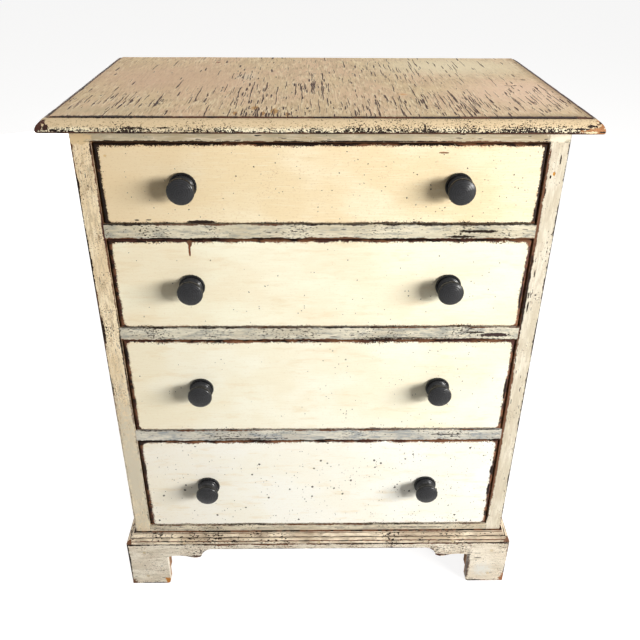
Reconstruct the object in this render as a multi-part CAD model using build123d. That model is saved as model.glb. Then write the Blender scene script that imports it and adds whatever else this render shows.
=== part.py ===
"""Miniature painted pine chest with four graduated drawers, built up from its separate boards.

Millimetres. The origin is on the floor under the middle of the chest. +X is to the right of someone
facing the drawers, +Y runs from the drawer fronts to the back, and +Z is up. The drawers pull out
along -Y. "Left" and "right" are as seen by someone facing the drawers.
"""
import os

from build123d import *

os.makedirs("parts", exist_ok=True)

# ---------------------------------------------------------------- overall case
case_width = 330.0
case_depth = 200.0
side_thickness = 13.3

# Heights, from the floor up. Openings are listed from the top drawer down.
plinth_height = 49.8
moulding_height = 9.4
bottom_rail_reveal = 6.9
opening_heights = (58.2, 72.9, 87.7, 97.1)
divider_height = 10.8
top_rail_height = 9.3

# ---------------------------------------------------------------- top board
top_thickness = 9.3
top_overhang = 16.0
top_back_overhang = 1.0
top_edge_inset = 7.7
top_edge_step = 0.8
top_edge_band = 2.6
top_edge_round = 1.6
top_edge_radius = 7.4

# ---------------------------------------------------------------- rails, runners, back and bottom
top_rail_depth = 40.0
divider_depth = 45.0
tenon_length = 5.0
tenon_thickness = 5.0
tenon_setback = 8.0
tenon_width = 30.0
tenon_clearance = 0.1
runner_width = 12.0
stop_size = (22.0, 6.0, 4.0)
stop_inset = 60.0
back_thickness = 6.0
back_rebate = 7.0
back_boards = 3
back_board_gap = 0.4

# ---------------------------------------------------------------- base moulding and bracket plinth
base_projection = 8.0
foot_width = 35.0
foot_round = 3.0
bracket_height = 34.2
bracket_length = 21.0
bracket_bow = 1.8
lobe_length = 10.0
lobe_drop = 1.0
cove_length = 8.5
cove_hollow = (3.4, 2.7)
arch_height = 44.1
arch_corner = 8.0
moulding_toe = 0.8
moulding_band = 1.8
moulding_waist = (5.6, 4.4)
moulding_quirk = (4.8, 5.2)
moulding_top = (1.8, 8.2)
moulding_round = 4.2
moulding_cove = 5.0
corner_block_size = 12.0
corner_block_height = 30.0
corner_block_lift = 6.0

# ---------------------------------------------------------------- drawers
drawer_side_gap = 1.2
drawer_top_gap = 1.3
drawer_rest_gap = 0.3
drawer_stop_gap = 0.3
drawer_back_gap = 10.0
front_thickness = 12.0
front_lap = 4.0
front_round = 2.0
drawer_board = 8.0
drawer_side_drop = 1.5
drawer_back_drop = 5.0
drawer_bottom_thickness = 3.5
drawer_bottom_lift = 6.0
groove_depth = 3.0
groove_clearance = 0.15

# ---------------------------------------------------------------- turned knobs
knob_spacing = 187.6
knob_drop = 1.0
knob_shifts = (0.0, 0.0, 0.0, -1.7)
knob_flange_radius = 9.5
knob_flange_height = 2.0
knob_flange_round = 0.4
knob_bead_radius = 7.7
knob_bead_height = 1.2
knob_bead_swell = 0.3
knob_bead_undercut = 0.5
knob_neck_radius = 5.4
knob_neck_plane = 6.6
knob_under_head_radius = 8.5
knob_under_head_plane = 10.4
knob_head_radius = 9.4
knob_head_plane = 12.0
knob_crown_radius = 8.3
knob_crown_start = 13.7
knob_length = 15.5
knob_spigot_radius = 4.0
knob_spigot_clearance = 0.05

# ---------------------------------------------------------------- nails and screws
nail_radius = 0.7
nail_head_radius = 1.5
nail_head_height = 0.7
screw_radius = 1.2
screw_head_radius = 2.5
screw_head_height = 1.2
fastener_clearance = 0.02
case_nail_length = 16.0
runner_nail_length = 22.0
drawer_nail_length = 14.0
pin_length = 12.0
screw_grip = 6.0

# Where fasteners stand, as shares of the length that they are spread over.
nail_shares = (0.2, 0.8)
drawer_nail_shares = (0.3, 0.8)
bottom_nail_shares = (-0.6, 0.0, 0.6)
front_pin_shares = (-0.8, 0.0, 0.8)
screw_shares = (0.25, 0.85)

# ---------------------------------------------------------------- positions worked out from the sizes
half_width = case_width / 2
half_inner = half_width - side_thickness
front_y = top_overhang - (case_depth + top_overhang + top_back_overhang) / 2
back_y = front_y + case_depth
inner_back_y = back_y - back_thickness
drawer_depth = case_depth - back_thickness - drawer_back_gap
rail_foot_z = plinth_height + moulding_height + bottom_rail_reveal

opening_floors = []
level = rail_foot_z
for height in reversed(opening_heights):
    opening_floors.insert(0, level)
    level += height + divider_height
case_height = level - divider_height + top_rail_height

# How far a cutting shape runs past the wood that it cuts.
overcut = 1.0

parts = {}


def board(x_range, y_range, z_range):
    """A square-edged board that fills three ranges."""
    sizes = [high - low for low, high in (x_range, y_range, z_range)]
    middle = [(low + high) / 2 for low, high in (x_range, y_range, z_range)]
    return Pos(*middle) * Box(*sizes)


def mirrored(x_range, side):
    """The range on the right (side 1) or its mirror image on the left (side -1)."""
    return tuple(sorted(side * x for x in x_range))


def fastener(radius, head_radius, head_height, length, clearance=0.0):
    """A nail or screw whose head is flush with z = 0 and whose shank runs down from it."""
    head = Pos(0, 0, -head_height / 2) * Cylinder(head_radius + clearance, head_height)
    shank_length = length - head_height + clearance
    shank = Pos(0, 0, -head_height - shank_length / 2) * Cylinder(radius + clearance, shank_length)
    return head + shank


def drive(pieces, point, inward, length, screw=False):
    """Drives a nail or screw at a point, cuts its hole in each named piece, and returns it."""
    sizes = (nail_radius, nail_head_radius, nail_head_height)
    if screw:
        sizes = (screw_radius, screw_head_radius, screw_head_height)
    seat = Plane(origin=point, z_dir=tuple(-part for part in inward))
    hole = seat * fastener(*sizes, length, fastener_clearance)
    for name in pieces:
        parts[name] = parts[name] - hole
    return seat * fastener(*sizes, length)


def group(solids):
    """Separate solids kept together in one node."""
    return Compound(children=[solid for item in solids for solid in item.solids()])


# ================================================================= top board
def moulded_half(reach):
    """Half of the top board's section, from its middle out to a moulded edge."""
    crown = top_thickness - top_edge_step
    shoulder = reach - top_edge_inset
    foot = (reach - top_edge_round, 0)
    return make_face([
        Line((0, 0), foot),
        RadiusArc(foot, (reach, top_edge_round), -top_edge_round),
        Line((reach, top_edge_round), (reach, top_edge_band)),
        RadiusArc((reach, top_edge_band), (shoulder, crown), -top_edge_radius),
        Line((shoulder, crown), (shoulder, top_thickness)),
        Line((shoulder, top_thickness), (0, top_thickness)),
        Line((0, top_thickness), (0, 0)),
    ])


top_half = half_width + top_overhang
top_front = front_y - top_overhang
top_back = back_y + top_back_overhang
sideways = moulded_half(top_half)
sideways += mirror(sideways, about=Plane.YZ)
edge_to_edge = extrude(Plane.XZ * sideways, amount=case_depth, both=True)
lengthways = mirror(moulded_half(-top_front), about=Plane.YZ)
lengthways += Pos(top_back / 2, top_thickness / 2) * Rectangle(top_back, top_thickness)
front_to_back = extrude(Plane.YZ * lengthways, amount=top_half + overcut, both=True)
parts["top_board"] = Pos(0, 0, case_height) * (edge_to_edge & front_to_back)


# ================================================================= case sides
def case_side(side):
    """A full-height side board, arched at the floor, notched for the top rail, rebated at the back."""
    span = (half_inner, half_width)
    blank = board(mirrored(span, side), (front_y, back_y), (0, case_height))
    arch_front = front_y - base_projection + foot_width
    arch = board(mirrored((half_inner - overcut, half_width + overcut), side),
                 (arch_front, back_y - foot_width), (-arch_corner, arch_height))
    arch = fillet(arch.edges().filter_by(Axis.X).group_by(Axis.Z)[-1], arch_corner)
    notch = board(mirrored((half_inner - overcut, half_width + overcut), side),
                  (front_y - overcut, front_y + top_rail_depth),
                  (case_height - top_rail_height, case_height + overcut))
    rebate = board(mirrored((half_inner - overcut, half_inner + back_rebate), side),
                   (inner_back_y, back_y + overcut), (plinth_height, case_height + overcut))
    return blank - arch - notch - rebate


parts["side_left"] = case_side(-1)
parts["side_right"] = case_side(1)


# ================================================================= rails across the front
def tenons(z_range, clearance=0.0):
    """The stub tenons at both ends of a rail, or their mortises when a clearance is given."""
    middle = (z_range[0] + z_range[1]) / 2
    half = tenon_thickness / 2 + clearance
    y_range = (front_y + tenon_setback - clearance,
               front_y + tenon_setback + tenon_width + clearance)
    reach = (half_inner, half_inner + tenon_length + clearance)
    return [board(mirrored(reach, side), y_range, (middle - half, middle + half))
            for side in (-1, 1)]


def front_rail(name, z_range):
    """A rail between the sides, held by stub tenons that don't show at the front."""
    rail = board((-half_inner, half_inner), (front_y, front_y + divider_depth), z_range)
    left, right = tenons(z_range)
    parts[name] = rail + left + right
    left, right = tenons(z_range, tenon_clearance)
    parts["side_left"] = parts["side_left"] - left
    parts["side_right"] = parts["side_right"] - right


parts["top_rail"] = board((-half_width, half_width), (front_y, front_y + top_rail_depth),
                          (case_height - top_rail_height, case_height))
for number, floor in enumerate(opening_floors[:-1], start=1):
    front_rail(f"divider_rail_{number}", (floor - divider_height, floor))
front_rail("bottom_rail", (plinth_height, rail_foot_z))

# ================================================================= back, bottom, cleats and runners
back_reach = half_inner + back_rebate
board_height = (case_height - plinth_height) / back_boards
for number in range(back_boards):
    low = plinth_height + number * board_height
    high = low + board_height - (back_board_gap if number < back_boards - 1 else 0)
    parts[f"back_board_{back_boards - number}"] = board(
        (-back_reach, back_reach), (inner_back_y, back_y), (low, high))

parts["bottom_board"] = board((-half_inner, half_inner), (front_y + divider_depth, inner_back_y),
                              (plinth_height, opening_floors[-1] - divider_height))


def side_strips(front, z_range):
    """A pair of strips along the insides of the case, from a rail's back edge to the back boards."""
    span = (half_inner - runner_width, half_inner)
    return [board(mirrored(span, side), (front, inner_back_y), z_range) for side in (-1, 1)]


parts["top_cleats"] = group(side_strips(front_y + top_rail_depth,
                                        (case_height - top_rail_height, case_height)))
for number, floor in enumerate(opening_floors, start=1):
    parts[f"runners_{number}"] = group(side_strips(front_y + divider_depth,
                                                   (floor - divider_height, floor)))

stop_width, stop_depth, stop_height = stop_size
stop_front = front_y + front_thickness + drawer_stop_gap
stops = []
for floor in opening_floors:
    for side in (-1, 1):
        middle = side * (half_inner - stop_inset)
        stops.append(board((middle - stop_width / 2, middle + stop_width / 2),
                           (stop_front, stop_front + stop_depth), (floor, floor + stop_height)))
parts["drawer_stops"] = group(stops)

# ================================================================= base moulding and bracket plinth
base_half = half_width + base_projection
base_front = front_y - base_projection
plans = {
    "front": [(-base_half, base_front), (base_half, base_front),
              (half_width, front_y), (-half_width, front_y)],
    "right": [(half_width, front_y), (base_half, base_front),
              (base_half, back_y), (half_width, back_y)],
}
plans["left"] = [(-x, y) for x, y in plans["right"]]


def mitred(solid, place):
    """Trims a length of the base to its plan, with 45 degree mitres at the front corners."""
    plan = make_face(Polyline(*plans[place], close=True))
    return solid & extrude(plan, amount=plinth_height + moulding_height)


def moulding_section():
    """The base moulding, with x as its projection from the case and y as height above the plinth."""
    waist_x, waist_z = moulding_waist
    quirk_x, quirk_z = moulding_quirk
    top_x, top_z = moulding_top
    return make_face([
        Line((0, 0), (base_projection - moulding_toe, 0)),
        Line((base_projection - moulding_toe, 0), (base_projection, moulding_toe)),
        Line((base_projection, moulding_toe), (base_projection, moulding_band)),
        RadiusArc((base_projection, moulding_band), (waist_x, waist_z), -moulding_round),
        Line((waist_x, waist_z), (quirk_x, waist_z)),
        Line((quirk_x, waist_z), (quirk_x, quirk_z)),
        RadiusArc((quirk_x, quirk_z), (top_x, top_z), moulding_cove),
        Line((top_x, top_z), (top_x, moulding_height)),
        Line((top_x, moulding_height), (0, moulding_height)),
        Line((0, moulding_height), (0, 0)),
    ])


def plinth_half(reach):
    """Half of a bracket board's outline, from the middle of its arch out to the end of its foot."""
    inner = reach - foot_width
    lobe = inner - bracket_length
    cove = lobe - lobe_length
    flat = cove - cove_length
    lobe_end = (cove, bracket_height + lobe_drop)
    hollow = (cove - cove_hollow[0], arch_height - cove_hollow[1])
    return make_face([
        Line((0, plinth_height), (reach, plinth_height)),
        Line((reach, plinth_height), (reach, 0)),
        Line((reach, 0), (inner + foot_round, 0)),
        RadiusArc((inner + foot_round, 0), (inner, foot_round), foot_round),
        Line((inner, foot_round), (inner, bracket_height)),
        ThreePointArc((inner, bracket_height),
                      (inner - bracket_length / 2, bracket_height + bracket_bow),
                      (lobe, bracket_height)),
        ThreePointArc((lobe, bracket_height),
                      (lobe - lobe_length / 2, bracket_height - lobe_drop), lobe_end),
        ThreePointArc(lobe_end, hollow, (flat, arch_height)),
        Line((flat, arch_height), (0, arch_height)),
        Line((0, arch_height), (0, plinth_height)),
    ])


def plinth_face(reach):
    """A bracket board's whole outline, alike at both ends."""
    half = plinth_half(reach)
    return half + mirror(half, about=Plane.YZ)


section = moulding_section()
run = case_width + case_depth
front_run = extrude(Plane((0, front_y, plinth_height), x_dir=(0, -1, 0), z_dir=(-1, 0, 0)) * section,
                    amount=run, both=True)
right_run = extrude(Plane((half_width, 0, plinth_height), x_dir=(1, 0, 0), z_dir=(0, -1, 0)) * section,
                    amount=run, both=True)
parts["base_moulding_front"] = mitred(front_run, "front")
parts["base_moulding_right"] = mitred(right_run, "right")
parts["base_moulding_left"] = mirror(parts["base_moulding_right"], about=Plane.YZ)

side_middle = (base_front + back_y) / 2
front_outline = Plane((0, front_y, 0), x_dir=(1, 0, 0), z_dir=(0, -1, 0)) * plinth_face(base_half)
side_outline = Plane((half_width, side_middle, 0), x_dir=(0, 1, 0), z_dir=(1, 0, 0)) * plinth_face(
    back_y - side_middle)
parts["base_front"] = mitred(extrude(front_outline, amount=base_projection), "front")
parts["base_right"] = mitred(extrude(side_outline, amount=base_projection), "right")
parts["base_left"] = mirror(parts["base_right"], about=Plane.YZ)

block_z = (corner_block_lift, corner_block_lift + corner_block_height)
parts["corner_blocks"] = group([
    board(mirrored((half_inner - corner_block_size, half_inner), side),
          (front_y, front_y + corner_block_size), block_z)
    for side in (-1, 1)
])


# ================================================================= drawers
def knob():
    """A turned mushroom knob on its spigot, with its axis along z and its face seat at z = 0."""
    bead_top = knob_flange_height + knob_bead_height
    bead_end = (knob_bead_radius - knob_bead_undercut, bead_top)
    rim = knob_flange_radius - knob_flange_round
    under_head = (knob_under_head_radius, knob_under_head_plane)
    crown_start = (knob_crown_radius, knob_crown_start)
    crown_rise = knob_length - knob_crown_start
    crown_sphere = (knob_crown_radius ** 2 + crown_rise ** 2) / (2 * crown_rise)
    profile = make_face([
        Line((0, -front_thickness), (knob_spigot_radius, -front_thickness)),
        Line((knob_spigot_radius, -front_thickness), (knob_spigot_radius, 0)),
        Line((knob_spigot_radius, 0), (rim, 0)),
        ThreePointArc((rim, 0), (knob_flange_radius, knob_flange_height / 2),
                      (rim, knob_flange_height)),
        Line((rim, knob_flange_height), (knob_bead_radius, knob_flange_height)),
        ThreePointArc((knob_bead_radius, knob_flange_height),
                      (knob_bead_radius + knob_bead_swell, (knob_flange_height + bead_top) / 2),
                      bead_end),
        ThreePointArc(bead_end, (knob_neck_radius, knob_neck_plane), under_head),
        ThreePointArc(under_head, (knob_head_radius, knob_head_plane), crown_start),
        RadiusArc(crown_start, (0, knob_length), -crown_sphere),
        Line((0, knob_length), (0, -front_thickness)),
    ])
    return revolve(Plane.XZ * profile, Axis.Z)


def drawer(number, floor, height, knob_shift):
    """One drawer: lapped front, nailed sides, raised back, sliding bottom, and two knobs."""
    prefix = f"drawer_{number}"
    half_front = half_inner - drawer_side_gap
    low = floor + drawer_rest_gap
    high = floor + height - drawer_top_gap
    front = board((-half_front, half_front), (front_y, front_y + front_thickness), (low, high))
    front = fillet(front.faces().sort_by(Axis.Y)[0].edges(), front_round)
    for side in (-1, 1):
        rebate = board(mirrored((half_front - drawer_board, half_front + overcut), side),
                       (front_y + front_lap, front_y + front_thickness + overcut),
                       (low - overcut, high + overcut))
        front = front - rebate

    end = front_y + drawer_depth
    side_high = high - drawer_side_drop
    side_span = (half_front - drawer_board, half_front)
    inner = half_front - drawer_board
    bottom_low = low + drawer_bottom_lift
    bottom_high = bottom_low + drawer_bottom_thickness
    groove_z = (bottom_low - groove_clearance, bottom_high + groove_clearance)
    groove_reach = inner + groove_depth
    front_groove = board((-inner, inner), (front_y + front_thickness - groove_depth,
                                           front_y + front_thickness + overcut), groove_z)
    parts[f"{prefix}_front"] = front - front_groove
    for side, name in ((-1, "left"), (1, "right")):
        piece = board(mirrored(side_span, side), (front_y + front_lap, end), (low, side_high))
        groove = board(mirrored((inner - overcut, groove_reach), side),
                       (front_y + front_thickness - groove_depth, end + overcut), groove_z)
        parts[f"{prefix}_side_{name}"] = piece - groove
    parts[f"{prefix}_back"] = board((-inner, inner), (end - drawer_board, end),
                                    (bottom_high + groove_clearance, side_high - drawer_back_drop))
    bottom_reach = groove_reach - groove_clearance
    bottom_front = front_y + front_thickness - groove_depth + groove_clearance
    bottom = board((-inner, inner), (bottom_front, end), (bottom_low, bottom_high))
    for side in (-1, 1):
        bottom += board(mirrored((inner, bottom_reach), side),
                        (front_y + front_thickness + groove_clearance, end),
                        (bottom_low, bottom_high))
    parts[f"{prefix}_bottom"] = bottom

    knob_z = floor + height / 2 - knob_drop
    for side, name in ((-1, "left"), (1, "right")):
        seat = Plane((side * knob_spacing / 2 + knob_shift, front_y, knob_z), z_dir=(0, -1, 0))
        hole = seat * Pos(0, 0, -front_thickness / 2) * Cylinder(
            knob_spigot_radius + knob_spigot_clearance, front_thickness + overcut)
        parts[f"{prefix}_front"] = parts[f"{prefix}_front"] - hole
        parts[f"{prefix}_knob_{name}"] = seat * knob()

    nails = []
    board_middle = drawer_board / 2
    for side, name in ((-1, "left"), (1, "right")):
        wall = f"{prefix}_side_{name}"
        for share in drawer_nail_shares:
            nail_z = low + share * (side_high - low)
            nails.append(drive((wall, f"{prefix}_front"),
                               (side * half_front, front_y + (front_lap + front_thickness) / 2, nail_z),
                               (-side, 0, 0), drawer_nail_length))
            nails.append(drive((wall, f"{prefix}_back"),
                               (side * half_front, end - board_middle,
                                max(nail_z, bottom_high + 3 * nail_head_radius)),
                               (-side, 0, 0), drawer_nail_length))
    for share in bottom_nail_shares:
        nails.append(drive((f"{prefix}_bottom", f"{prefix}_back"),
                           (share * inner, end - board_middle, bottom_low),
                           (0, 0, 1), drawer_nail_length))
    parts[f"{prefix}_nails"] = group(nails)


for number, (floor, height, shift) in enumerate(
        zip(opening_floors, opening_heights, knob_shifts), start=1):
    drawer(number, floor, height, shift)

# ================================================================= nails and screws of the case
case_nails = []
pin_z = plinth_height + moulding_band
for side, name in ((-1, "left"), (1, "right")):
    wall = f"side_{name}"
    for number in range(1, back_boards + 1):
        low = plinth_height + (back_boards - number) * board_height
        for share in nail_shares:
            case_nails.append(drive((f"back_board_{number}", wall),
                                    (side * (half_inner + back_rebate / 2), back_y,
                                     low + share * board_height),
                                    (0, -1, 0), case_nail_length))
    for number, floor in enumerate(opening_floors, start=1):
        start = front_y + divider_depth
        for share in nail_shares:
            spot = start + share * (inner_back_y - start)
            case_nails.append(drive((f"runners_{number}", wall),
                                    (side * (half_inner - runner_width), spot,
                                     floor - divider_height / 2),
                                    (side, 0, 0), runner_nail_length))
    nail_x = side * (half_inner + side_thickness / 2)
    for share in nail_shares:
        nail_z = share * plinth_height
        case_nails.append(drive(("base_front", wall), (nail_x, base_front, nail_z),
                                (0, 1, 0), case_nail_length))
        for nail_y in (front_y + foot_width / 2, back_y - foot_width / 2):
            case_nails.append(drive((f"base_{name}", wall), (side * base_half, nail_y, nail_z),
                                    (-side, 0, 0), case_nail_length))
    for share in nail_shares:
        case_nails.append(drive((f"base_moulding_{name}", wall),
                                (side * base_half, front_y + share * case_depth, pin_z),
                                (-side, 0, 0), pin_length))
for share in front_pin_shares:
    case_nails.append(drive(("base_moulding_front", "bottom_rail"),
                            (share * half_inner, base_front, pin_z),
                            (0, 1, 0), pin_length))
parts["case_nails"] = group(case_nails)

top_screws = []
screw_length = top_rail_height + screw_grip
for side in (-1, 1):
    screw_z = case_height - top_rail_height
    top_screws.append(drive(("top_rail", "top_board"),
                            (side * half_inner / 2, front_y + top_rail_depth / 2, screw_z),
                            (0, 0, 1), screw_length, screw=True))
    for share in screw_shares:
        start = front_y + top_rail_depth
        top_screws.append(drive(("top_cleats", "top_board"),
                                (side * (half_inner - runner_width / 2),
                                 start + share * (inner_back_y - start), screw_z),
                                (0, 0, 1), screw_length, screw=True))
parts["top_screws"] = group(top_screws)

# ================================================================= one file for each node
for name, shape in parts.items():
    export_step(shape, f"parts/{name}.step")
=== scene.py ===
import math

import bmesh
import bpy
from mathutils import Matrix, Vector, noise


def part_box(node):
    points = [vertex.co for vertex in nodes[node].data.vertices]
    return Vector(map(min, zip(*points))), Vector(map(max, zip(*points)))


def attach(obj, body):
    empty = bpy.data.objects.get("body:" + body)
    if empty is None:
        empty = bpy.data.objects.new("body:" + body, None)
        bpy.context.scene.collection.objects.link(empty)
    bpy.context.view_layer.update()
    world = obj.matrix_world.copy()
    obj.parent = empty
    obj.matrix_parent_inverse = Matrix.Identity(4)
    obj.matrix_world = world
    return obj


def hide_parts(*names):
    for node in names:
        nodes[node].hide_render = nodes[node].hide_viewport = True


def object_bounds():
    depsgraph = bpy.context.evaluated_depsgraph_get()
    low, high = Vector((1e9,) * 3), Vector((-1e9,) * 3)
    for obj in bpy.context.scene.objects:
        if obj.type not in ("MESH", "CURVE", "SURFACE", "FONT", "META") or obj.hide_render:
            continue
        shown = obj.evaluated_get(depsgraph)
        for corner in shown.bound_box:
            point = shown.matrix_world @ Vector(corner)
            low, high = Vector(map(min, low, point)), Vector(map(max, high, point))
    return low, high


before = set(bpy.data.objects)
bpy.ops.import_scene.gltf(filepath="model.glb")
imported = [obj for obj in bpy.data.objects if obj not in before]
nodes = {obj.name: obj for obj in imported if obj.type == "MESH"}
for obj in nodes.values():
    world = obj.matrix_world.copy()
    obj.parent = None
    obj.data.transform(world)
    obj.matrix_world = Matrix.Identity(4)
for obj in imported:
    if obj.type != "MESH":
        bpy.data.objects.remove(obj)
cad_low, cad_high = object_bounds()
mm = 0.001

# ============================================================ where the viewer stands
# Someone sitting close to the chest and looking down on it: under half a metre in front of the
# drawers, a hand's breadth above the top, and a shade to the left of the middle.
viewer_left = 8.86 * mm
viewer_out = 465.13 * mm
viewer_above = 114.28 * mm
look_down = math.radians(29.965)
look_right = math.radians(1.066)
head_tilt = math.radians(0.416)
case_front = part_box("side_left")[0].y

viewer = bpy.data.cameras.new("viewer")
viewer.lens = 40.08
viewer.sensor_width = 36.0
viewer.clip_start = 0.01
viewer_object = bpy.data.objects.new("viewer", viewer)
bpy.context.scene.collection.objects.link(viewer_object)
ahead = Vector((math.sin(look_right) * math.cos(look_down),
                math.cos(look_right) * math.cos(look_down), -math.sin(look_down)))
level = Vector((math.cos(look_right), -math.sin(look_right), 0.0))
above = level.cross(ahead)
across = math.cos(head_tilt) * level + math.sin(head_tilt) * above
upward = math.cos(head_tilt) * above - math.sin(head_tilt) * level
stand = Vector((-viewer_left, case_front - viewer_out, cad_high.z + viewer_above))
viewer_object.matrix_world = (Matrix.Translation(stand)
                              @ Matrix((across, upward, -ahead)).transposed().to_4x4())
bpy.context.scene.camera = viewer_object


# ============================================================ side boards
# Two half-inch pine boards, full height and sawn to an arch at the floor. Their front edges are the
# narrow stiles beside the drawers. The outsides are painted cream and the insides were never painted.
def screen(red, green, blue):
    """A colour given by its screen values of 0 to 255, for a shader."""
    return tuple(c / 255 / 12.92 if c <= 10 else ((c / 255 + 0.055) / 1.055) ** 2.4
                 for c in (red, green, blue)) + (1.0,)


def fill(tree, socket, value):
    """Gives a socket a link, if the value is another socket, or else the value itself."""
    if isinstance(value, bpy.types.NodeSocket):
        tree.links.new(value, socket)
    else:
        socket.default_value = value


def add(tree, kind, inputs=None, **settings):
    """Adds a shader node with its settings, and fills its sockets by name or number."""
    made = tree.nodes.new("ShaderNode" + kind)
    for name, value in settings.items():
        setattr(made, name, value)
    for key, value in (inputs or {}).items():
        fill(tree, made.inputs[key], value)
    return made.outputs


def sums(tree, operation, *values):
    """One step of arithmetic."""
    return add(tree, "Math", dict(enumerate(values)), operation=operation)[0]


def plus(tree, first, second):
    """Adds two values."""
    return sums(tree, "ADD", first, second)


def less(tree, first, second):
    """Takes the second value from the first."""
    return sums(tree, "SUBTRACT", first, second)


def times(tree, first, second):
    """Multiplies two values."""
    return sums(tree, "MULTIPLY", first, second)


def larger(tree, first, second):
    """The larger of two values."""
    return sums(tree, "MAXIMUM", first, second)


def vector(tree, operation, *values):
    """One step of arithmetic on places or sizes."""
    made = add(tree, "VectorMath", dict(enumerate(values)), operation=operation)
    return made["Value" if operation == "LENGTH" else "Vector"]


def ramp(tree, value, start, end, low=0.0, high=1.0):
    """Runs smoothly from low to high as the value goes from start to end."""
    return add(tree, "MapRange", {"Value": value, "From Min": start, "From Max": end, "To Min": low,
                                  "To Max": high}, interpolation_type="SMOOTHSTEP")[0]


def tint(tree, amount, under, over):
    """Lays one colour over another by an amount."""
    made = tree.nodes.new("ShaderNodeMix")
    made.data_type = "RGBA"
    for number, value in ((0, amount), (6, under), (7, over)):
        fill(tree, made.inputs[number], value)
    return made.outputs[2]


def cloud(tree, place, size, stretch=(1, 1, 1), detail=2.0, rough=0.5, shift=(0, 0, 0)):
    """Cloudy noise, mostly from 0.3 to 0.7, with lumps of one size before the stretch."""
    scaled = add(tree, "Mapping", {"Vector": place, "Location": shift,
                                   "Scale": tuple(1 / (size * part) for part in stretch)})[0]
    settings = {"Vector": scaled, "Scale": 1.0, "Detail": detail, "Roughness": rough}
    return add(tree, "TexNoise", settings)[0]


def group(name, inputs, outputs, build):
    """Makes a shader group with named sockets. build gives one result for each output."""
    tree = bpy.data.node_groups.new(name, "ShaderNodeTree")
    for socket, (kind, value) in inputs.items():
        made = tree.interface.new_socket(socket, in_out="INPUT", socket_type="NodeSocket" + kind)
        made.default_value = value
    for socket, kind in outputs.items():
        tree.interface.new_socket(socket, in_out="OUTPUT", socket_type="NodeSocket" + kind)
    given = tree.nodes.new("NodeGroupInput").outputs
    end = tree.nodes.new("NodeGroupOutput")
    for socket, result in zip(outputs, build(tree, given)):
        tree.links.new(result, end.inputs[socket])
    return tree


def use(tree, shared, **inputs):
    """Places a shared group in a material with that material's own values."""
    made = tree.nodes.new("ShaderNodeGroup")
    made.node_tree = shared
    for name, value in inputs.items():
        fill(tree, made.inputs[name], value)
    return made.outputs


def build_flakes(tree, given):
    """Small ragged flakes gone from the paint, thicker on the ground in some places than in others."""
    scaled = vector(tree, "DIVIDE", given["Place"], given["Size"])
    fine = add(tree, "TexNoise", {"Vector": scaled, "Scale": 1.0, "Detail": 3.0, "Roughness": 0.6})[0]
    slow = less(tree, cloud(tree, given["Place"], 22 * mm, detail=1.0), 0.5)
    level = plus(tree, fine, times(tree, slow, given["Bunching"]))
    return [ramp(tree, plus(tree, level, given["Amount"]), 0.77, 0.80)]


def build_splits(tree, given):
    """Spindle-shaped splits or round specks, each one in its own cell of the given size."""
    shake = vector(tree, "DIVIDE", given["Place"], given["Shake"])
    shake = add(tree, "TexNoise", {"Vector": shake, "Scale": 1.0, "Detail": 2.0})[1]
    shake = vector(tree, "SUBTRACT", shake, (0.5, 0.5, 0.5))
    moved = vector(tree, "ADD", given["Place"], vector(tree, "MULTIPLY", shake, given["Waver"]))
    cell = add(tree, "TexVoronoi", {"Vector": vector(tree, "DIVIDE", moved, given["Size"]), "Scale": 1.0})
    chance = add(tree, "SeparateColor", {0: cell["Color"]})
    kept = sums(tree, "LESS_THAN", chance[0], given["Density"])
    reach = times(tree, given["Width"], sums(tree, "MULTIPLY_ADD", chance[1], 0.6, 0.4))
    beyond = less(tree, cell["Distance"], reach)
    split = times(tree, kept, ramp(tree, beyond, 0.02, -0.02))
    return [split, times(tree, kept, ramp(tree, beyond, 0.2, 0.0))]


def build_worn_edge(tree, given):
    """Bare edges of a board from its two corners: how near the second nearest pair of faces is."""
    near = vector(tree, "MINIMUM", vector(tree, "SUBTRACT", given["Place"], given["Low"]),
                  vector(tree, "SUBTRACT", given["High"], given["Place"]))
    x, y, z = add(tree, "SeparateXYZ", {0: near})
    middle = larger(tree, sums(tree, "MINIMUM", x, y),
                  sums(tree, "MINIMUM", larger(tree, x, y), z))
    fine = cloud(tree, given["Place"], 2.2 * mm, detail=3.0, rough=0.6)
    slow = cloud(tree, given["Place"], 16 * mm, detail=1.0)
    ragged = less(tree, plus(tree, fine, slow), 1.0)
    edge = plus(tree, middle, times(tree, ragged, given["Ragged"]))
    return [ramp(tree, less(tree, edge, given["Width"]), 0.12 * mm, -0.12 * mm)]


def build_patch(tree, given):
    """One ragged oval patch about a centre."""
    away = vector(tree, "DIVIDE", vector(tree, "SUBTRACT", given["Place"], given["Centre"]), given["Reach"])
    fine = less(tree, cloud(tree, given["Place"], 2.4 * mm, detail=3.0, rough=0.65), 0.5)
    level = plus(tree, vector(tree, "LENGTH", away), times(tree, fine, given["Ragged"]))
    return [ramp(tree, level, 1.0, less(tree, 1.0, given["Soft"]))]


def build_pine(tree, given):
    """Old bare pine: growth lines and fine fibres, both drawn out along the board."""
    scaled = vector(tree, "DIVIDE", given["Place"], given["Size"])
    slow = add(tree, "TexNoise", {"Vector": scaled, "Scale": 0.35, "Detail": 1.0, "Distortion": 0.3})[0]
    line = sums(tree, "PINGPONG", times(tree, slow, 14.0), 1.0)
    fibre = add(tree, "TexNoise", {"Vector": scaled, "Scale": 6.0, "Detail": 3.0, "Roughness": 0.6})[0]
    amount = plus(tree, times(tree, ramp(tree, line, 0.55, 1.0), 0.55),
                  times(tree, fibre, 0.5))
    return [tint(tree, amount, given["Light"], given["Dark"]), amount]


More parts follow.
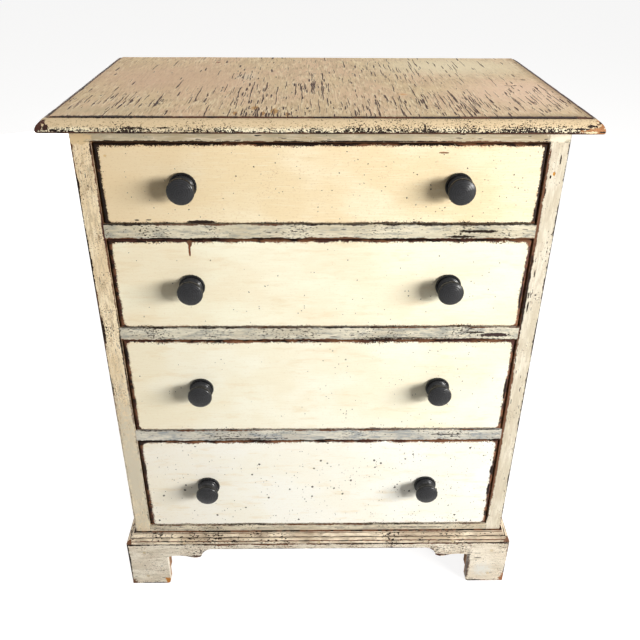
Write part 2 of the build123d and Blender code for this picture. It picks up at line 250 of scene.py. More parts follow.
flakes = group("paint_flakes", {"Place": ("Vector", (0, 0, 0)), "Size": ("Vector", (mm, mm, mm)),
                                "Amount": ("Float", 0.0), "Bunching": ("Float", 0.4)},
               {"Flakes": "Float"}, build_flakes)
splits = group("splits", {"Place": ("Vector", (0, 0, 0)), "Size": ("Vector", (mm, mm, mm)),
                          "Waver": ("Vector", (0, 0, 0)), "Shake": ("Vector", (3 * mm,) * 3),
                          "Density": ("Float", 0.5), "Width": ("Float", 0.3)},
               {"Splits": "Float", "Lips": "Float"}, build_splits)
worn_edge = group("worn_edge", {"Place": ("Vector", (0, 0, 0)), "Low": ("Vector", (0, 0, 0)),
                                "High": ("Vector", (1, 1, 1)), "Width": ("Float", mm),
                                "Ragged": ("Float", mm)}, {"Worn": "Float"}, build_worn_edge)
patch = group("patch", {"Place": ("Vector", (0, 0, 0)), "Centre": ("Vector", (0, 0, 0)),
                        "Reach": ("Vector", (1, 1, 1)), "Ragged": ("Float", 0.8), "Soft": ("Float", 0.2)},
              {"Patch": "Float"}, build_patch)
pine = group("pine", {"Place": ("Vector", (0, 0, 0)), "Size": ("Vector", (mm, mm, mm)),
                      "Light": ("Color", (1, 1, 1, 1)), "Dark": ("Color", (0, 0, 0, 1))},
             {"Colour": "Color", "Height": "Float"}, build_pine)

black_brown = screen(30, 17, 9)
worn_brown = screen(108, 74, 54)
red_brown = screen(72, 43, 35)
grain_along = {"x": (12, 1, 1), "y": (1, 12, 1), "z": (1, 1, 12)}


def start_material(name):
    """A new material: its tree, its shader, and the place on the object in metres."""
    material = bpy.data.materials.new(name)
    material.use_nodes = True
    tree = material.node_tree
    return material, tree, tree.nodes["Principled BSDF"], add(tree, "TexCoord")["Object"]


def end_material(tree, shader, colour, rough, height, depth=0.25 * mm, shine=0.2):
    """Joins the finished colour, roughness and relief to the shader. Old paint has little shine."""
    shader.inputs["Specular IOR Level"].default_value = shine
    fill(tree, shader.inputs["Base Color"], colour)
    fill(tree, shader.inputs["Roughness"], rough)
    bump = add(tree, "Bump", {"Height": height, "Strength": 0.7, "Distance": depth})
    tree.links.new(bump[0], shader.inputs["Normal"])


def dress(name, material):
    """Gives a node its finish."""
    for slot in nodes[name].material_slots:
        slot.material = material


def bare_pine(tree, here, grain, light=(176, 130, 84), dark=(118, 76, 42), size=4 * mm):
    """The pine under the paint, or on show where there is none."""
    return use(tree, pine, Place=here, Size=[size * part for part in grain_along[grain]],
               Light=screen(*light), Dark=screen(*dark))


def oval(tree, here, centre, reach, ragged, soft):
    """A ragged oval patch, with its centre and its reach in millimetres."""
    return use(tree, patch, Place=here, Centre=[part * mm for part in centre],
               Reach=[part * mm for part in reach], Ragged=ragged, Soft=soft)[0]


def painted_board(name, grain, light, dark, painted, edge=0.6 * mm, ragged=2.6 * mm, flake=0.0,
                  bunching=0.5, split=0.3, stipple=0.0, wash=None, marks=()):
    """Worn cream paint on a board. painted lists the faces that were painted: an axis, and how far
    along it the paint starts. marks are ragged patches: a centre, a reach, a colour and a softness."""
    low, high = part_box(name)
    material, tree, shader, here = start_material("painted_" + name)
    along = grain_along[grain]
    wood = bare_pine(tree, here, grain)
    apart = add(tree, "SeparateXYZ", {0: here})
    cover = 0.0
    for axis, start in painted:
        outside = less(tree, apart[axis], start)
        if start < 0:
            outside = times(tree, outside, -1.0)
        cover = larger(tree, cover, ramp(tree, outside, -0.4 * mm, 0.4 * mm))
    tone_shift = cloud(tree, here, 16 * mm, [part ** 0.4 for part in along], 3.0)
    coat = tint(tree, ramp(tree, tone_shift, 0.38, 0.64), light, dark)
    brushed = cloud(tree, here, 1.1 * mm, along, 3.0)
    coat = tint(tree, ramp(tree, brushed, 0.48, 0.7, 0.0, 0.33), coat,
                tint(tree, 0.6, dark, screen(150, 128, 100)))
    coat = tint(tree, ramp(tree, brushed, 0.5, 0.3, 0.0, 0.35), coat, screen(252, 244, 226))
    if wash:
        thin = cloud(tree, here, 2.6 * mm, [part ** 0.6 for part in along], 4.0, 0.7, (3, 5, 7))
        coat = tint(tree, ramp(tree, thin, 0.44, 0.66, 0.0, 0.9), coat, wash)
    dots = use(tree, flakes, Place=here, Size=(0.9 * mm,) * 3, Amount=stipple, Bunching=0.3)[0]
    coat = tint(tree, times(tree, dots, 0.7), coat, screen(140, 98, 62))
    lost = use(tree, flakes, Place=here, Size=[1.1 * mm * part ** 0.3 for part in along],
               Amount=flake, Bunching=bunching)[0]
    crowded = ramp(tree, cloud(tree, here, 30 * mm, detail=2.0, shift=(9, 2, 5)), 0.38, 0.6,
                   0.25 * split, 1.7 * split)
    cracks = use(tree, splits, Place=here,
                 Size=[1.5 * mm * (part * 0.8 if part > 1 else 1) for part in along],
                 Waver=(1.6 * mm,) * 3, Shake=[2.5 * mm * part ** 0.5 for part in along],
                 Density=crowded, Width=0.27)
    specks = use(tree, splits, Place=here, Size=(2.6 * mm,) * 3, Waver=(mm,) * 3, Density=0.35,
                 Width=0.17)[0]
    bare = use(tree, worn_edge, Place=here, Low=low, High=high, Width=edge, Ragged=ragged)[0]
    # The pale lips beside the splits are a painted highlight, as where raised paint catches the light.
    coat = tint(tree, times(tree, cracks["Lips"], 0.3), coat, screen(248, 240, 222))
    coat = tint(tree, times(tree, specks, 0.8), coat, screen(92, 70, 52))
    dug = larger(tree, lost, cracks["Splits"])
    worn_tone = tint(tree, ramp(tree, cloud(tree, here, 7 * mm, along, 2.0), 0.47, 0.56),
                     black_brown, worn_brown)
    coat = tint(tree, bare, coat, worn_tone)
    coat = tint(tree, dug, coat, black_brown)
    for centre, reach, colour, soft in marks:
        spot = oval(tree, here, centre, reach, 1.8, soft)
        coat = tint(tree, spot, coat, colour)
        if soft < 0.6:
            dug = larger(tree, dug, spot)
    colour = tint(tree, cover, wood["Colour"], coat)
    gone = larger(tree, dug, bare)
    height = times(tree, cover, less(tree, 1.0, gone))
    height = plus(tree, height, times(tree, brushed, 0.25))
    end_material(tree, shader, colour, plus(tree, 0.5, times(tree, gone, 0.25)), height)
    dress(name, material)


stile_front = case_front + 1.5 * mm
outer_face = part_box("side_right")[1].x - 0.1 * mm
left_marks = [
    ((-164, -92, 270), (1.4, 3, 12), black_brown, 0.2),
    ((-164.5, -92, 385), (1.0, 3, 8), black_brown, 0.2),
    ((-152, -92, 352), (1.2, 3, 16), red_brown, 0.3),
    ((-152, -92, 200), (0.8, 3, 30), red_brown, 0.3),
    ((-158, -92.5, 414.2), (8, 3, 2.2), screen(222, 198, 156), 0.4),
    ((-158, -92.5, 130), (20, 6, 120), screen(216, 206, 184), 0.9)]
right_marks = [
    ((157.5, -92.5, 393), (1.1, 3, 1.6), screen(196, 138, 60), 0.3),
    ((155.5, -92.5, 391), (0.8, 3, 1.3), black_brown, 0.2),
    ((160.5, -92.5, 403), (0.45, 3, 3.5), black_brown, 0.2),
    ((153.4, -92.5, 380), (0.9, 3, 3), black_brown, 0.2),
    ((154.5, -92.5, 300), (0.6, 3, 3), black_brown, 0.2),
    ((155.2, -92.5, 290), (0.6, 3, 5), black_brown, 0.2),
    ((156.2, -92.5, 318), (0.5, 3, 3), black_brown, 0.2),
    ((152.2, -92.5, 330), (1.6, 3, 90), worn_brown, 0.25),
    ((152.2, -92.5, 170), (1.7, 3, 100), worn_brown, 0.25),
    ((152.6, -92.5, 300), (1.1, 3, 40), black_brown, 0.3)]
painted_board("side_left", "z", screen(255, 238, 204), screen(238, 216, 178),
              [(1, stile_front), (0, -outer_face)], edge=0.9 * mm, flake=0.10, split=0.32,
              stipple=0.17, wash=screen(206, 186, 152), marks=left_marks)
painted_board("side_right", "z", screen(226, 218, 200), screen(208, 198, 176),
              [(1, stile_front), (0, outer_face)], flake=0.07, split=0.45, stipple=0.09,
              wash=screen(204, 192, 170), marks=right_marks)

# ============================================================ rails
# A full-width rail under the top, lapped over the sides, three thin rails between the drawers and one
# below them. Their paint is greyer than the rest, and the drawers have rubbed their edges to the wood.
rail_marks = {
    "top_rail": [((-158, -92.5, 417), (9, 3, 6), screen(222, 198, 156), 0.5),
                 ((40, -92.5, 415), (50, 3, 0.5), black_brown, 0.3),
                 ((157, -92.5, 418), (9, 3, 7), screen(236, 228, 206), 0.5)],
    "divider_rail_1": [((-112, -92.5, 345.6), (14, 3, 0.7), screen(24, 22, 24), 0.2),
                       ((112, -92.5, 351), (16, 3, 1.4), black_brown, 0.3),
                       ((98, -92.5, 347), (12, 3, 1.0), black_brown, 0.3)],
    "divider_rail_2": [((134, -92.5, 265.6), (14, 3, 1.8), screen(58, 44, 42), 0.2),
                       ((118, -92.5, 268), (10, 3, 0.8), black_brown, 0.2),
                       ((60, -92.5, 263), (34, 3, 0.7), black_brown, 0.3)],
    "divider_rail_3": [((-60, -92.5, 165), (30, 3, 0.6), black_brown, 0.3),
                       ((105, -92.5, 169), (14, 3, 0.7), black_brown, 0.3)],
    "bottom_rail": [((90, -92.5, 62), (30, 3, 0.6), black_brown, 0.3)]}
# The top rail's cream and wash are given darker than the other rails': painted shade under the overhang of
# the top board.
for name, light, dark, wash, flake in (
        ("top_rail", (204, 192, 164), (186, 172, 142), (178, 170, 146), 0.04),
        ("divider_rail_1", (224, 216, 192), (204, 194, 168), (164, 162, 150), 0.16),
        ("divider_rail_2", (222, 216, 196), (200, 192, 172), (156, 156, 148), 0.18),
        ("divider_rail_3", (218, 214, 200), (194, 190, 178), (148, 154, 158), 0.16),
        ("bottom_rail", (222, 212, 188), (200, 186, 160), (162, 154, 140), 0.14)):
    faces = [(1, stile_front)]
    if name == "top_rail":
        faces += [(0, outer_face), (0, -outer_face)]
    painted_board(name, "x", screen(*light), screen(*dark), faces, edge=0.55 * mm, flake=flake,
                  bunching=0.35, split=0.42, stipple=0.06, wash=screen(*wash), marks=rail_marks[name])

# ============================================================ unpainted pine inside
# Runners, stops, cleats, glue blocks and the bottom board inside the case, and the boards of its back,
# all sawn from common pine and left bare. They are nailed or glued, and have gone brown with age.
bare_boards = [("back_board_" + number, "x", (158, 116, 76), (98, 64, 38)) for number in "123"]
bare_boards += [("runners_" + number, "y", (182, 138, 90), (126, 84, 48)) for number in "1234"]
bare_boards += [("drawer_stops", "x", (176, 132, 86), (118, 78, 44)),
                ("top_cleats", "y", (172, 128, 82), (116, 76, 44)),
                ("bottom_board", "x", (174, 130, 84), (114, 74, 42)),
                ("corner_blocks", "z", (150, 108, 68), (96, 62, 36))]
for name, grain, light, dark in bare_boards:
    material, tree, shader, here = start_material("bare_" + name)
    wood = bare_pine(tree, here, grain, light, dark)
    dirt = ramp(tree, cloud(tree, here, 30 * mm, detail=3.0), 0.42, 0.7, 0.0, 0.5)
    scratches = use(tree, splits, Place=here, Size=[2 * mm * part for part in grain_along[grain]],
                    Waver=(mm,) * 3, Density=0.3, Width=0.2)[0]
    colour = tint(tree, dirt, wood["Colour"], screen(84, 58, 38))
    colour = tint(tree, times(tree, scratches, 0.6), colour, black_brown)
    height = less(tree, wood["Height"], scratches)
    end_material(tree, shader, colour, 0.75, height, 0.2 * mm)
    dress(name, material)

# ============================================================ base moulding
# A planted moulding, mitred at the front corners: a fillet over a cove, a quirk and a round. It is
# pinned to the case above the bracket boards. The paint has gone from its arrises in a broken line.
for name in ("base_moulding_front", "base_moulding_left", "base_moulding_right"):
    moulding_low, moulding_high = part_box(name)
    material, tree, shader, here = start_material("painted_" + name)
    up = less(tree, add(tree, "SeparateXYZ", {0: here})[2], moulding_low.z)
    ragged = less(tree, cloud(tree, here, 2.5 * mm, (2.5, 2.5, 1), 3.0), 0.5)
    up = plus(tree, up, times(tree, ragged, 1.1 * mm))
    coat = tint(tree, ramp(tree, cloud(tree, here, 14 * mm, (2, 2, 1), 3.0), 0.4, 0.6),
                screen(230, 216, 192), screen(194, 177, 153))
    coat = tint(tree, ramp(tree, cloud(tree, here, 3 * mm, (4, 4, 1), 3.0), 0.45, 0.65, 0.0, 0.6),
                coat, screen(150, 134, 116))
    dug = 0.0
    for start, end, tone in ((9.1, 99.0, worn_brown), (7.6, 8.1, worn_brown), (5.0, 5.5, black_brown),
                             (2.9, 3.6, worn_brown), (-9.0, 0.7, red_brown)):
        line = times(tree, ramp(tree, up, (start - 0.2) * mm, (start + 0.2) * mm),
                    ramp(tree, up, (end + 0.2) * mm, (end - 0.2) * mm))
        rubbed = tint(tree, ramp(tree, cloud(tree, here, 9 * mm), 0.48, 0.56), tone, black_brown)
        coat = tint(tree, line, coat, rubbed)
        dug = larger(tree, dug, line)
    lost = use(tree, flakes, Place=here, Size=(2.4 * mm, 2.4 * mm, 0.9 * mm), Amount=0.15,
               Bunching=0.5)[0]
    coat = tint(tree, lost, coat, black_brown)
    for side in (-1, 1):
        corner = (side * moulding_high.x / mm, moulding_low.y / mm, moulding_low.z / mm)
        coat = tint(tree, oval(tree, here, corner, (6, 6, 8), 1.4, 0.2), coat, worn_brown)
    dug = larger(tree, dug, lost)
    end_material(tree, shader, coat, 0.6, less(tree, 1.0, dug))
    dress(name, material)

# ============================================================ base boards
# Three bracket boards under the moulding, mitred at the front corners and sawn to two plain feet with
# a small scalloped bracket each. The feet are rubbed to the wood at their corners and inner arrises.
# The right foot's inner arris is also painted a soft dark brown as painted shade, away from the lamp.
foot_low, foot_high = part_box("base_front")
face = foot_low.y / mm
foot_marks = [((-foot_high.x / mm, face, 1), (5, 5, 6), worn_brown, 0.4),
              ((foot_high.x / mm, face, 2), (5, 5, 9), screen(150, 100, 66), 0.5),
              ((-138, face, 0), (9, 3, 1.6), worn_brown, 0.3),
              ((144, face, 0), (12, 3, 1.8), black_brown, 0.4),
              # The right foot's inner arris: a little worn wood, and painted shade where it faces away from
              # the lamp.
              ((138.0, face, 18), (2.6, 9, 26), screen(84, 66, 54), 0.7),
              ((-172.6, face, 30), (1.2, 4, 20), black_brown, 0.3),
              ((152, face, 16), (13, 3, 12), screen(220, 218, 210), 0.95),
              ((-140, face, 4), (3, 6, 5), screen(190, 126, 60), 0.4)]
for side in (-1, 1):
    foot_marks += [((side * 52, face, 44), (54, 3, 0.8), black_brown, 0.3),
                   ((side * 127, face, 34.6), (13, 3, 1.0), black_brown, 0.3),
                   ((side * 110, face, 35.2), (8, 3, 1.2), red_brown, 0.3),
                   ((side * 102, face, 40.5), (3.4, 3, 3.0), red_brown, 0.3)]
painted_board("base_front", "x", screen(242, 234, 218), screen(222, 210, 190),
              [(1, foot_low.y + 5 * mm)], edge=0.8 * mm, flake=0.14, bunching=0.4, split=0.16,
              stipple=0.18, wash=screen(206, 196, 176), marks=foot_marks)
for name, side in (("base_left", -1), ("base_right", 1)):
    painted_board(name, "y", screen(230, 216, 190), screen(204, 188, 160),
                  [(0, side * (foot_high.x - 5 * mm))], flake=0.07, bunching=0.4, split=0.15,
                  stipple=0.1, wash=screen(194, 184, 162),
                  marks=[((side * 173, 104, 1), (4, 8, 5), worn_brown, 0.4),
                         ((side * 173, -98, 2), (4, 7, 8), worn_brown, 0.4)])

# ============================================================ top board
# One wide pine board with its front and ends worked to a quarter-round under a small step. Its tan
# paint has split along the grain, from front to back, and is rubbed away at the step and the corners.
top_low, top_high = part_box("top_board")
step_in = 7.7 * mm
step_down = 0.8 * mm
edge_band = 2.6 * mm
edge_round = 1.6 * mm
edge_radius = 7.4 * mm
across_steps = 172
along_steps = 104
dent_x = 144 * mm
dent_y = 1 * mm
dent_radius = 6 * mm


def arc(start, end, radius, steps):
    """Points along a convex arc between two points of the section, without its first point."""
    start, end = Vector(start), Vector(end)
    chord = end - start
    rise = math.sqrt(radius ** 2 - (chord.length / 2) ** 2)
    centre = (start + end) / 2 + Vector((chord.y, -chord.x)).normalized() * rise
    turn = (start - centre).angle_signed(end - centre)
    return [centre + Matrix.Rotation(-turn * step / steps, 2) @ (start - centre)
            for step in range(1, steps + 1)]


def worn_top(x, y, z, inset):
    """Where a point of the crisp board ends up after its life: only ever inward and down."""
    place = Vector((x, y, z))
    if inset < step_in - 0.1 * mm:
        nick = max(0.0, noise.noise(place / (6 * mm))) * 0.5 * mm
        nick += max(0.0, noise.noise(place / (25 * mm))) * 0.4 * mm
        if abs(x) > top_high.x - inset - 0.01 * mm:
            place.x -= math.copysign(nick, x)
        if y < top_low.y + inset + 0.01 * mm:
            place.y += nick
    for side, knock in ((-1, 0.15 * mm), (1, 0.4 * mm)):
        near = 1 - math.hypot(x - side * top_high.x, y - top_low.y) / (15 * mm)
        if near > 0:
            place.x -= side * knock * near ** 2
            place.y += knock * near ** 2
            place.z -= 0.5 * mm * near ** 2 * (z - top_low.z) / (top_high.z - top_low.z)
    if z > top_high.z - step_down:
        place.z -= (0.22 + 0.2 * noise.noise(Vector((x, y, 0)) / (45 * mm))) * mm
        place.z -= max(0.0, noise.noise(Vector((x / 3, y / 12, 0)) / mm)) * 0.12 * mm
        bite = abs(math.hypot(x - dent_x, y - dent_y) - dent_radius)
        if bite < 2 * mm and y < dent_y - 2 * mm:
            place.z -= 0.5 * mm * (1 - bite / (2 * mm))
    return place


thick = top_high.z - top_low.z
section = [Vector((edge_round, 0))] + arc((edge_round, 0), (0, edge_round), edge_round, 4)
section += [Vector((0, edge_band))] + arc((0, edge_band), (step_in, thick - step_down), edge_radius, 10)
section += [Vector((step_in, thick - 0.3 * mm)), Vector((step_in + 0.35 * mm, thick))]
outline = [(0, along) for along in range(along_steps + 1)]
outline += [(step, along_steps) for step in range(1, across_steps + 1)]
outline += [(across_steps, along) for along in range(along_steps - 1, -1, -1)]


def top_point(step, along, inset, height):
    """A point of the board's own grid, counted across from the left end and along from the back."""
    half = top_high.x - inset
    x = -half + 2 * half * step / across_steps
    y = top_high.y - (top_high.y - top_low.y - inset) * along / along_steps
    return worn_top(x, y, top_low.z + height, inset)


top_points = [top_point(step, along, *part) for part in section for step, along in outline]
around = len(outline)
top_faces = [(turn * around + spot, turn * around + spot + 1,
              (turn + 1) * around + spot + 1, (turn + 1) * around + spot)
             for turn in range(len(section) - 1) for spot in range(around - 1)]
rim = (len(section) - 1) * around
flat = {place: rim + number for number, place in enumerate(outline)}
for along in range(along_steps):
    for step in range(1, across_steps):
        flat[step, along] = len(top_points)
        top_points.append(top_point(step, along, *section[-1]))
top_faces += [(flat[step, along], flat[step, along + 1], flat[step + 1, along + 1], flat[step + 1, along])
              for step in range(across_steps) for along in range(along_steps)]
left_back = [turn * around for turn in range(len(section))]
right_back = [turn * around + around - 1 for turn in range(len(section))]
top_faces.append(left_back + [flat[step, 0] for step in range(1, across_steps)] + right_back[::-1])
top_faces.append(list(range(around))[::-1])
top_mesh = bpy.data.meshes.new("worn_top_board")
top_mesh.from_pydata(top_points, [], top_faces)
tidy = bmesh.new()
tidy.from_mesh(top_mesh)
bmesh.ops.recalc_face_normals(tidy, faces=tidy.faces)
tidy.to_mesh(top_mesh)
tidy.free()
for face in top_mesh.polygons:
    face.use_smooth = True
top_mesh.set_sharp_from_angle(angle=math.radians(35))
worn_top_board = bpy.data.objects.new("worn_top_board", top_mesh)
bpy.context.scene.collection.objects.link(worn_top_board)
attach(worn_top_board, "case")
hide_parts("top_board")

top_material, tree, shader, here = start_material("painted_top")
x, y, z = add(tree, "SeparateXYZ", {0: here})
wood = bare_pine(tree, here, "y")
from_end = less(tree, top_high.x, sums(tree, "ABSOLUTE", x))
inward = sums(tree, "MINIMUM", from_end, less(tree, y, top_low.y))
ragged = less(tree, cloud(tree, here, 2.6 * mm, detail=3.0, rough=0.6), 0.5)
on_flat = ramp(tree, inward, step_in - 0.2 * mm, step_in + 0.2 * mm)

tan = tint(tree, ramp(tree, cloud(tree, here, 42 * mm, (1.0, 1.6, 1), 3.0), 0.4, 0.6),
           screen(230, 200, 166), screen(228, 204, 164))
tan = tint(tree, ramp(tree, cloud(tree, here, 10 * mm, (0.7, 2.5, 1), 4.0), 0.42, 0.66, 0.0, 0.7),
           tan, screen(208, 182, 146))
tan = tint(tree, ramp(tree, cloud(tree, here, 1.5 * mm, (1, 8, 1), 3.0), 0.5, 0.68, 0.0, 0.75),
           tan, screen(250, 232, 198))
streaks = cloud(tree, here, 1.3 * mm, (1, 10, 1), 3.0, shift=(4, 4, 4))
tan = tint(tree, ramp(tree, streaks, 0.52, 0.68, 0.0, 0.7), tan, screen(166, 138, 104))
paler = ramp(tree, plus(tree, z, times(tree, ragged, 3 * mm)), top_low.z + 5.2 * mm, top_low.z + 2.4 * mm)
cream = tint(tree, paler, screen(218, 196, 160), screen(246, 236, 206))
cream = tint(tree, ramp(tree, cloud(tree, here, 14 * mm, (2, 1, 1), 4.0), 0.4, 0.65, 0.0, 0.6),
             cream, screen(214, 192, 156))
cream = tint(tree, ramp(tree, cloud(tree, here, 1.4 * mm, (2, 1, 1), 3.0, 0.7), 0.52, 0.7, 0.0, 0.6),
             cream, screen(158, 132, 98))
coat = tint(tree, on_flat, cream, tan)
for centre, reach, colour, amount in (
        ((-110, 20), (110, 90), (222, 188, 158), 0.7), ((150, -30), (80, 80), (250, 218, 190), 0.9),
        ((115, 70), (95, 60), (250, 236, 202), 0.9), ((-57, 25), (13, 16), (236, 222, 196), 0.6),
        ((-150, -84), (60, 16), (206, 188, 152), 0.6), ((150, -96), (50, 8), (196, 176, 142), 0.7),
        ((30, -97), (110, 6), (206, 188, 150), 0.5), ((59, -36), (5, 4), (222, 166, 104), 0.8)):
    spot = oval(tree, here, (*centre, top_high.z / mm), (*reach, 1000), 0.8, 0.9)
    coat = tint(tree, times(tree, spot, amount), coat, screen(*colour))

# The splits crowd the middle and the right of the board, with a bunch at the front left.
crowd = 0.1
for centre, reach, amount in (
        ((-140, -62), (42, 40), 0.75), ((-55, -40), (60, 66), 0.66), ((0, -10), (70, 90), 0.4),
        ((-35, -88), (40, 26), 1.6), ((40, -70), (60, 50), 0.85), ((100, -66), (60, 66), 0.9),
        ((155, -50), (44, 70), 0.85), ((60, 50), (110, 60), 0.36), ((-57, 26), (20, 30), 0.95)):
    spot = oval(tree, here, (*centre, top_high.z / mm), (*reach, 1000), 0.3, 0.8)
    crowd = larger(tree, times(tree, spot, amount), crowd)
open_wood = 0.0
raised_lips_and_highlight = 0.0
for size, density, width in (((1.5, 95, 900), 0.5, 0.42), ((1.2, 44, 900), 0.75, 0.46),
                             ((1.6, 18, 900), 0.6, 0.45)):
    layer = use(tree, splits, Place=here, Size=[part * mm for part in size],
                Waver=(2.4 * mm, 2 * mm, 0), Shake=(3 * mm, 17 * mm, 3 * mm),
                Density=times(tree, crowd, density), Width=width)
    open_wood = larger(tree, open_wood, layer["Splits"])
    raised_lips_and_highlight = larger(tree, raised_lips_and_highlight, layer["Lips"])
open_wood = times(tree, open_wood, on_flat)
raised_lips_and_highlight = times(tree, raised_lips_and_highlight, on_flat)
# The lips beside the splits are raised in the relief and painted paler as a painted highlight, where raised
# paint catches the light.
coat = tint(tree, times(tree, raised_lips_and_highlight, 0.4), coat, screen(248, 232, 202))

# Crumbs of paint are gone low on the moulded edge, most of all to the right and at the left end.
low_down = ramp(tree, z, top_low.z + 7.5 * mm, top_low.z + 0.6 * mm, 0.12, 0.3)
to_right = ramp(tree, sums(tree, "ABSOLUTE", less(tree, x, 75 * mm)), 120 * mm, 40 * mm, 0.0, 0.05)
fleck = plus(tree, low_down, to_right)
flecks = use(tree, flakes, Place=here, Size=(1.1 * mm, 1.1 * mm, 0.8 * mm), Amount=fleck,
             Bunching=0.3)[0]
flecks = times(tree, flecks, less(tree, 1.0, on_flat))
specks = use(tree, splits, Place=here, Size=(2 * mm,) * 3, Waver=(mm,) * 3, Density=0.4, Width=0.2)[0]
coat = tint(tree, times(tree, specks, 0.75), coat, screen(104, 76, 54))
coat = tint(tree, flecks, coat, black_brown)
behind = less(tree, inward, step_in)
along_front = ramp(tree, less(tree, from_end, less(tree, y, top_low.y)), -2 * mm, 6 * mm)
rub_back = times(tree, along_front, ramp(tree, x, 20 * mm, 150 * mm, 1.8 * mm, 3.2 * mm))
rub_back = plus(tree, rub_back, times(tree, ragged, 4 * mm))
rubbed = times(tree, ramp(tree, behind, -1.1 * mm, -0.7 * mm),
              ramp(tree, less(tree, behind, rub_back), 0.4 * mm, -0.4 * mm))
smudge = plus(tree, behind, times(tree, ragged, 12 * mm))
smudge = times(tree, ramp(tree, smudge, 7 * mm, 1 * mm), ramp(tree, x, 40 * mm, 110 * mm, 0.15, 0.6))
coat = tint(tree, times(tree, smudge, on_flat), coat, screen(146, 120, 84))
ends = plus(tree, less(tree, top_high.z - step_down, z), times(tree, ragged, 1.6 * mm))
ends = times(tree, ramp(tree, ends, 1.7 * mm, 1.2 * mm), ramp(tree, behind, 0.0, -0.4 * mm))
ends = times(tree, ends, ramp(tree, y, top_low.y + 6 * mm, top_low.y + 12 * mm))
# The lowest part of the rounded edge, where it turns under, is painted dark: worn wood at the arris, and
# painted shade under the edge.
under = plus(tree, z, times(tree, ragged, 1.6 * mm))
under = ramp(tree, under, top_low.z + 1.5 * mm, top_low.z + 1.1 * mm)
rubbed = larger(tree, rubbed, larger(tree, ends, under))
rubbed_tone = tint(tree, ramp(tree, cloud(tree, here, 12 * mm), 0.42, 0.58),
                   screen(38, 22, 17), screen(82, 52, 36))
coat = tint(tree, rubbed, coat, rubbed_tone)

# The corners, knocks and dents of the moulded edge come first, then those of the flat.
for centre, reach, colour in (
        ((181, -108.5, 425.8), (16, 7, 2.8), screen(168, 116, 74)),
        ((180.5, -106, 430), (5, 8, 3.4), screen(156, 106, 66)),
        ((171, -108.5, 428.8), (5, 4, 0.8), black_brown),
        ((165, -108.5, 427.4), (5, 4, 0.6), black_brown),
        ((177, -108.5, 430.6), (2.4, 4, 1.2), black_brown),
        ((178, -108.5, 425.4), (2.4, 4, 0.5), black_brown),
        ((172, -108.5, 425.2), (5, 4, 0.7), screen(236, 218, 180)),
        ((-120, -108.5, 427.5), (9, 3, 0.6), black_brown),
        ((-100, -108.5, 427.6), (6, 3, 0.4), black_brown),
        ((65, -108.5, 427.5), (1.0, 3, 2.4), black_brown),
        ((-180.5, -106, 428.5), (6, 8, 8), red_brown),
        ((-174, -108.5, 427.6), (2.6, 4, 1.8), screen(52, 32, 26)),
        ((-169, -108.5, 426.0), (3, 4, 0.8), black_brown),
        ((-44, -77, 433), (2.6, 7, 3), screen(196, 152, 92)),
        ((-31, -86, 433), (2.4, 9, 3), screen(190, 146, 84)),
        ((-38, -92, 433), (1.6, 6, 3), screen(176, 132, 80)),
        ((-56, -90, 433), (1.6, 5, 3), screen(184, 140, 84)),
        ((-22, -94, 433), (1.4, 6, 3), screen(176, 132, 80)),
        ((-111, -67, 433), (3.4, 2, 3), black_brown),
        ((-111, -66, 433), (0.8, 7, 3), black_brown),
        ((-86, 85, 433), (2.4, 2, 3), screen(136, 62, 44)),
        ((159, 16, 433), (1.8, 2.4, 3), screen(70, 46, 34)),
        ((-137, -100, 433), (36, 2.4, 3), black_brown)):
    spot = oval(tree, here, centre, reach, 2.6, 0.2)
    coat = tint(tree, spot, coat, colour)
    open_wood = larger(tree, open_wood, times(tree, spot, 0.5))
coat = tint(tree, ramp(tree, open_wood, 0.5, 0.8), coat, screen(58, 27, 6))
from_dent = vector(tree, "LENGTH", vector(tree, "SUBTRACT", here, (dent_x, dent_y, top_high.z)))
dent = ramp(tree, sums(tree, "ABSOLUTE", less(tree, from_dent, dent_radius)), 1.1 * mm, 0.7 * mm)
dent = times(tree, dent, ramp(tree, y, -2.2 * mm, -3.4 * mm))
coat = tint(tree, dent, coat, screen(66, 36, 20))
covered = ramp(tree, z, top_low.z + 0.05 * mm, top_low.z + 0.3 * mm)
coat = tint(tree, covered, wood["Colour"], coat)
height = less(tree, times(tree, raised_lips_and_highlight, 0.3), open_wood)
height = less(tree, height, times(tree, larger(tree, flecks, rubbed), 0.6))
rough = plus(tree, 0.5, times(tree, cloud(tree, here, 8 * mm), 0.2))
end_material(tree, shader, coat, rough, height, 0.35 * mm)
top_mesh.materials.append(top_material)
dress("top_board", top_material)

# ============================================================ nails and screws
# Cut nails and fine pins hold the case, the moulding and the drawers, and six screws hold the top.
# The pins in the base were painted over with it, and the rest are rusty iron.
iron = [("case_nails", 0.5, (70, 58, 52)), ("top_screws", 0.56, (108, 100, 92))]
iron += [(f"drawer_{number}_nails", 0.5, (74, 62, 54)) for number in (1, 2, 3, 4)]
for name, rust, steel in iron:
    material, tree, shader, here = start_material("iron_" + name)
    mottle = cloud(tree, here, 0.8 * mm, detail=3.0, rough=0.6)
    rusty = ramp(tree, mottle, rust - 0.06, rust + 0.06)
    colour = tint(tree, rusty, screen(*steel), screen(116, 66, 38))
    metal = less(tree, 0.7, times(tree, rusty, 0.7))
    if name == "case_nails":
        low_pins = ramp(tree, add(tree, "SeparateXYZ", {0: here})[2], 61 * mm, 60 * mm)
        painted = tint(tree, rusty, screen(216, 202, 174), screen(186, 166, 132))
        colour = tint(tree, low_pins, colour, painted)
        metal = times(tree, metal, less(tree, 1.0, low_pins))
    fill(tree, shader.inputs["Metallic"], metal)
    rough = plus(tree, 0.35, times(tree, rusty, 0.4))
    end_material(tree, shader, colour, rough, mottle, 0.1 * mm)
    dress(name, material)


